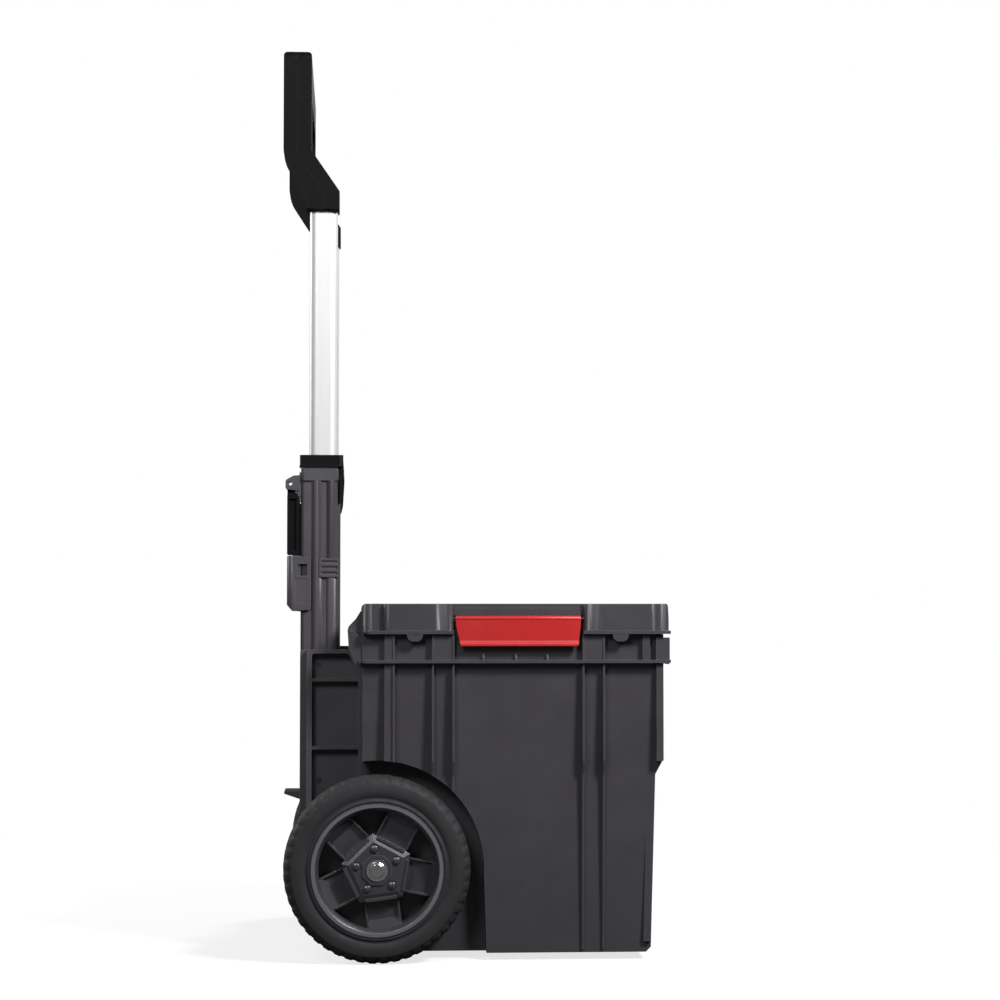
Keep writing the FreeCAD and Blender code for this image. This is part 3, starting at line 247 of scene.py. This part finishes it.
def edge_mask(tree, radius):
    """1 on sharp outer edges, 0 on flat faces, found by how far a rounded normal turns away."""
    rounded = tree.nodes.new("ShaderNodeBevel")
    rounded.samples = 4
    rounded.inputs["Radius"].default_value = radius
    geometry = tree.nodes.new("ShaderNodeNewGeometry")
    dot = tree.nodes.new("ShaderNodeVectorMath")
    dot.operation = "DOT_PRODUCT"
    tree.links.new(rounded.outputs["Normal"], dot.inputs[0])
    tree.links.new(geometry.outputs["Normal"], dot.inputs[1])
    return remap(tree, dot.outputs["Value"], 0.985, 0.82, 0.0, 1.0)


def toned(colour, factor):
    """The colour made darker by a factor below 1, or lighter by one above it."""
    return tuple(channel * factor for channel in colour)


def moulded_plastic(
    name, colour, roughness, grain=0.00006, edge_wear_and_highlight=2.4, scuffs=0.25, specular=0.45
):
    """Injection-moulded plastic: fine spark grain, soft mottling, edges paled both by wear and by a
    painted highlight, and light scuffs.
    """
    material, tree, shader = shader_of(name)
    place = object_coordinates(tree)
    mottle = noise(tree, place, 7.0, 4.0)
    body = mix_colour(tree, mottle, toned(colour, 0.86), toned(colour, 1.14))
    # sharp edges paled in patches: partly wear, partly a painted highlight of light caught on the edges
    patches = remap(tree, noise(tree, place, 55.0), 0.3, 0.7, 0.35, 1.0)
    wear_and_highlight_mask = arithmetic(tree, "MULTIPLY", edge_mask(tree, EDGE_WEAR_AND_HIGHLIGHT_RADIUS), patches)
    with_worn_highlit_edges = mix_colour(tree, wear_and_highlight_mask, body, toned(colour, edge_wear_and_highlight))
    specks = noise(tree, object_coordinates(tree, (1.0, 1.0, 0.35)), 260.0, 4.0, 0.75)
    marks = remap(tree, specks, 0.60, 0.72, 0.0, scuffs)
    coloured = mix_colour(tree, marks, with_worn_highlit_edges, toned(colour, 1.7))
    tree.links.new(coloured, shader.inputs["Base Color"])
    rough = remap(tree, noise(tree, place, 30.0, 5.0), 0.3, 0.7, roughness - 0.05, roughness + 0.07)
    tree.links.new(rough, shader.inputs["Roughness"])
    pebble = noise(tree, place, 1500.0, 2.0, 0.6)
    tree.links.new(bump(tree, pebble, grain, 0.8), shader.inputs["Normal"])
    shader.inputs["Specular IOR Level"].default_value = specular
    return material


def wheel_radius(tree):
    """Distance from the wheels' axis, in metres."""
    parts = tree.nodes.new("ShaderNodeSeparateXYZ")
    tree.links.new(object_coordinates(tree), parts.inputs["Vector"])
    across = arithmetic(tree, "SUBTRACT", parts.outputs["X"], WHEEL_X)
    up = arithmetic(tree, "SUBTRACT", parts.outputs["Z"], WHEEL_Z)
    across_squared = arithmetic(tree, "MULTIPLY", across, across)
    up_squared = arithmetic(tree, "MULTIPLY", up, up)
    return arithmetic(tree, "SQRT", arithmetic(tree, "ADD", across_squared, up_squared), 0.0)


def rim_plastic(name, colour):
    """Glossier moulded plastic, with painted shade on the panels near the hub and a painted highlight
    on the outer bead.
    """
    material = moulded_plastic(name, colour, 0.30, specular=0.6)
    tree = material.node_tree
    shader = tree.nodes["Principled BSDF"]
    body = shader.inputs["Base Color"].links[0].from_socket
    radius = wheel_radius(tree)
    # painted shade: the panels grow darker towards the hub
    hub_shade_mask = remap(tree, radius, *PANEL_SHADE, 0.55, 0.0)
    panels = mix_colour(tree, hub_shade_mask, body, toned(colour, 0.45))
    # painted highlight: a pale ring on the outer bead
    inner_edge = remap(tree, radius, *BEAD_INNER, 0.0, 1.0)
    outer_edge = remap(tree, radius, *BEAD_OUTER, 1.0, 0.0)
    bead = arithmetic(tree, "MULTIPLY", arithmetic(tree, "MULTIPLY", inner_edge, outer_edge), 0.9)
    with_bead_highlight = mix_colour(tree, bead, panels, toned(colour, 3.4))
    in_hub = remap(tree, radius, *HUB_EDGE, 1.0, 0.0)
    coloured = mix_colour(tree, in_hub, with_bead_highlight, body)
    tree.links.new(coloured, shader.inputs["Base Color"])
    return material


def tyre_rubber(name, colour):
    """Matt vulcanised rubber with a fine grit and patches of dust."""
    material, tree, shader = shader_of(name)
    place = object_coordinates(tree)
    dust = remap(tree, noise(tree, place, 24.0, 6.0, 0.65), 0.35, 0.75, 0.0, 0.8)
    body = mix_colour(tree, dust, colour, toned(colour, 1.6))
    tree.links.new(body, shader.inputs["Base Color"])
    rough = remap(tree, noise(tree, place, 90.0), 0.3, 0.7, 0.62, 0.82)
    tree.links.new(rough, shader.inputs["Roughness"])
    grit = noise(tree, place, 900.0, 3.0, 0.7)
    tree.links.new(bump(tree, grit, 0.00012, 0.7), shader.inputs["Normal"])
    shader.inputs["Specular IOR Level"].default_value = 0.35
    return material


def metal(
    name, colour, roughness, brushing=(1.0, 1.0, 1.0), lines=900.0, depth=0.00002, metallic=1.0
):
    """Bare or plated metal with drawn lines along one axis and slight staining."""
    material, tree, shader = shader_of(name)
    drawn = noise(tree, object_coordinates(tree, brushing), lines, 2.0)
    stain = noise(tree, object_coordinates(tree), 18.0, 4.0)
    body = mix_colour(tree, stain, toned(colour, 0.93), colour)
    tree.links.new(body, shader.inputs["Base Color"])
    shader.inputs["Metallic"].default_value = metallic
    rough = remap(tree, drawn, 0.25, 0.75, roughness - 0.06, roughness + 0.08)
    tree.links.new(rough, shader.inputs["Roughness"])
    tree.links.new(bump(tree, drawn, depth, 0.5), shader.inputs["Normal"])
    return material


def make_materials():
    """The finish for each of the record's material slots."""
    return {
        # edge_wear_and_highlight: how much paler sharp edges get, both as wear and as a painted
        # highlight
        "black_plastic": moulded_plastic("black_plastic", BLACK, 0.44),
        "frame_plastic": moulded_plastic("frame_plastic", toned(BLACK, 1.55), 0.40),
        "handle_plastic": moulded_plastic(
            "handle_plastic", toned(BLACK, 0.11), 0.58, edge_wear_and_highlight=4.0, specular=0.08
        ),
        "button_plastic": moulded_plastic("button_plastic", toned(BLACK, 1.3), 0.36),
        "latch_red": moulded_plastic(
            "latch_red", (0.375, 0.0135, 0.0135), 0.40, edge_wear_and_highlight=1.25, scuffs=0.05, specular=0.35
        ),
        "tyre_rubber": tyre_rubber("tyre_rubber", (0.0125, 0.0114, 0.0132)),
        "rim_plastic": rim_plastic("rim_plastic", toned(BLACK, 0.95)),
        "rubber_foot": tyre_rubber("rubber_foot", (0.020, 0.020, 0.021)),
        "seal_rubber": tyre_rubber("seal_rubber", (0.014, 0.014, 0.014)),
        "nylon": moulded_plastic("nylon", (0.58, 0.56, 0.50), 0.45, edge_wear_and_highlight=1.1, scuffs=0.0),
        "anodised_tube": metal(
            "anodised_tube", (0.66, 0.66, 0.67), 0.42, (60.0, 60.0, 0.6), 20.0, metallic=0.35
        ),
        "steel": metal("steel", (0.55, 0.55, 0.56), 0.32),
        "bright_pin": metal("bright_pin", (0.80, 0.80, 0.81), 0.18),
        "spring_steel": metal("spring_steel", (0.42, 0.42, 0.43), 0.30),
        "black_oxide": metal("black_oxide", (0.05, 0.05, 0.055), 0.40, metallic=0.6),
    }


# ---------------------------------------------------------------- carried-over CAD nodes
# width of the rounding on each slot's edges; the slots that aren't here keep sharp edges
EDGE_ROUND = {
    "black_plastic": 0.0008,
    "frame_plastic": 0.0008,
    "handle_plastic": 0.0012,
    "button_plastic": 0.0008,
    "latch_red": 0.0007,
    "rim_plastic": 0.0007,
    "rubber_foot": 0.0010,
    "bright_pin": 0.0003,
    "steel": 0.0003,
}
ROUND_SEGMENTS = 2
SHARP_ANGLE = math.radians(32.0)
WELD_DISTANCE = 0.00001

# nodes whose large flat walls need their shading evened out
FLAT_WALLED = ("tub", "back_panel")
FLAT_WEIGHT = 80


def dress_node(name, slot, material):
    """Gives a CAD node its material and rounds its edges with modifiers."""
    node = NODES[name]
    for index in range(len(node.material_slots)):
        node.material_slots[index].material = material
    if not node.material_slots:
        node.data.materials.append(material)
    width = EDGE_ROUND.get(slot)
    if width is None:
        return
    weld = node.modifiers.new("weld", "WELD")
    weld.merge_threshold = WELD_DISTANCE
    rounding = node.modifiers.new("rounding", "BEVEL")
    rounding.width = width
    rounding.segments = ROUND_SEGMENTS
    rounding.limit_method = "ANGLE"
    rounding.angle_limit = SHARP_ANGLE
    rounding.harden_normals = True
    if name in FLAT_WALLED:
        flat_faces = node.modifiers.new("flat_faces", "WEIGHTED_NORMAL")
        flat_faces.weight = FLAT_WEIGHT
        flat_faces.keep_sharp = True


def dress_frame(materials):
    slots = {entry["node"]: entry["material_slot"] for entry in frame["record"]["subparts"]}
    for name in NODES:
        dress_node(name, slots[name], materials[slots[name]])


# ---------------------------------------------------------------- tyres
TYRE_RADIUS = 0.1000
TYRE_LUGS = 48
STEPS_PER_LUG = 8
LUG_GAP_STEPS = 3
LUG_DEPTH = 0.0010
LUG_INNER_RADIUS = 0.0935

# the lugs of the outer half lean, by degrees of turn for each metre away from this depth
LUG_SLANT = 72.0
LUG_SLANT_FROM = 0.0135

# depth that parts the outer half's lugs from the inner half's, and the last point before it
TREAD_MIDDLE = 0.0215
TREAD_INNER_EDGE = 0.0202

# the sidewall and shoulder, as (radius, depth from the outer face)
TYRE_SIDE = (
    (0.0665, 0.0030),
    (0.0690, 0.0014),
    (0.0716, 0.0006),
    (0.0728, 0.0001),
    (0.0744, 0.0004),
    (0.0756, 0.0014),
    (0.0772, 0.0014),
    (0.0786, 0.0005),
    (0.0840, 0.0001),
    (0.0890, 0.0004),
    (0.0916, 0.0010),
    (0.0923, 0.0020),
    (0.0940, 0.0026),
    (0.0966, 0.0048),
    (0.0984, 0.0076),
    (0.0994, 0.0106),
    (0.1000, 0.0136),
)

# the groove round the tread, as (depth from the outer face, how far it is sunk)
TREAD_GROOVE = ((0.0150, 0.0), (0.0154, 0.0018), (0.0172, 0.0018), (0.0176, 0.0))


def tyre_section():
    """The section as (radius, depth from the outer face, share of the lug depth), and that face's Y."""
    low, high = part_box("tyre_left")
    width = high.y - low.y
    half = [(radius, depth, float(radius >= LUG_INNER_RADIUS)) for radius, depth in TYRE_SIDE]
    for depth, sink in TREAD_GROOVE:
        half.append((TYRE_RADIUS - sink, depth, 0.0 if sink else 1.0))
    half.append((TYRE_RADIUS, TREAD_INNER_EDGE, 1.0))
    far = [(radius, width - depth, share) for radius, depth, share in reversed(half)]
    return half + far, high.y


def tyre_point(i, around, section_point, face, side):
    """A point of the section, turned to step i and sunk where it lies between two lugs."""
    radius, depth, share = section_point
    outer_half = depth < TREAD_MIDDLE
    step = (i if outer_half else i + STEPS_PER_LUG // 2) % STEPS_PER_LUG
    if step < LUG_GAP_STEPS:
        radius -= LUG_DEPTH * share
    turn = 2.0 * math.pi * i / around
    if outer_half and share:
        turn += math.radians(LUG_SLANT * (depth - LUG_SLANT_FROM))
    return (WHEEL_X + radius * math.cos(turn), side * (face - depth), WHEEL_Z + radius * math.sin(turn))


def tyre_mesh(name, side):
    """A ring of tread lugs: each lug stands proud and the gaps between them are sunk."""
    section, face = tyre_section()
    around = TYRE_LUGS * STEPS_PER_LUG
    shape = bmesh.new()
    rings = []
    for i in range(around):
        points = [tyre_point(i, around, section_point, face, side) for section_point in section]
        rings.append([shape.verts.new(point) for point in points])
    count = len(section)
    for i in range(around):
        a, b = rings[i], rings[(i + 1) % around]
        for j in range(count):
            k = (j + 1) % count
            shape.faces.new((a[j], b[j], b[k], a[k]))
    bmesh.ops.recalc_face_normals(shape, faces=shape.faces[:])
    return finish_mesh(shape, name)


def finish_mesh(shape, name):
    """Turns a bmesh into an object with smooth faces, and sharp edges past the sharp angle."""
    for face in shape.faces:
        face.smooth = True
    for edge in shape.edges:
        edge.smooth = len(edge.link_faces) == 2 and edge.calc_face_angle() < SHARP_ANGLE
    mesh = bpy.data.meshes.new(name)
    shape.to_mesh(mesh)
    shape.free()
    piece = bpy.data.objects.new(name, mesh)
    bpy.context.scene.collection.objects.link(piece)
    return piece


def make_tyres(materials):
    for name, side in (("left", 1.0), ("right", -1.0)):
        tyre = tyre_mesh("tread_tyre_" + name, side)
        tyre.data.materials.append(materials["tyre_rubber"])
        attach(tyre, "wheel_" + name)
        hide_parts("tyre_" + name)


bpy.context.scene.view_settings.view_transform = "Standard"
make_camera()
make_world()
make_floor()
for light in LIGHTS:
    area_light(*light)
finishes = make_materials()
dress_frame(finishes)
make_tyres(finishes)
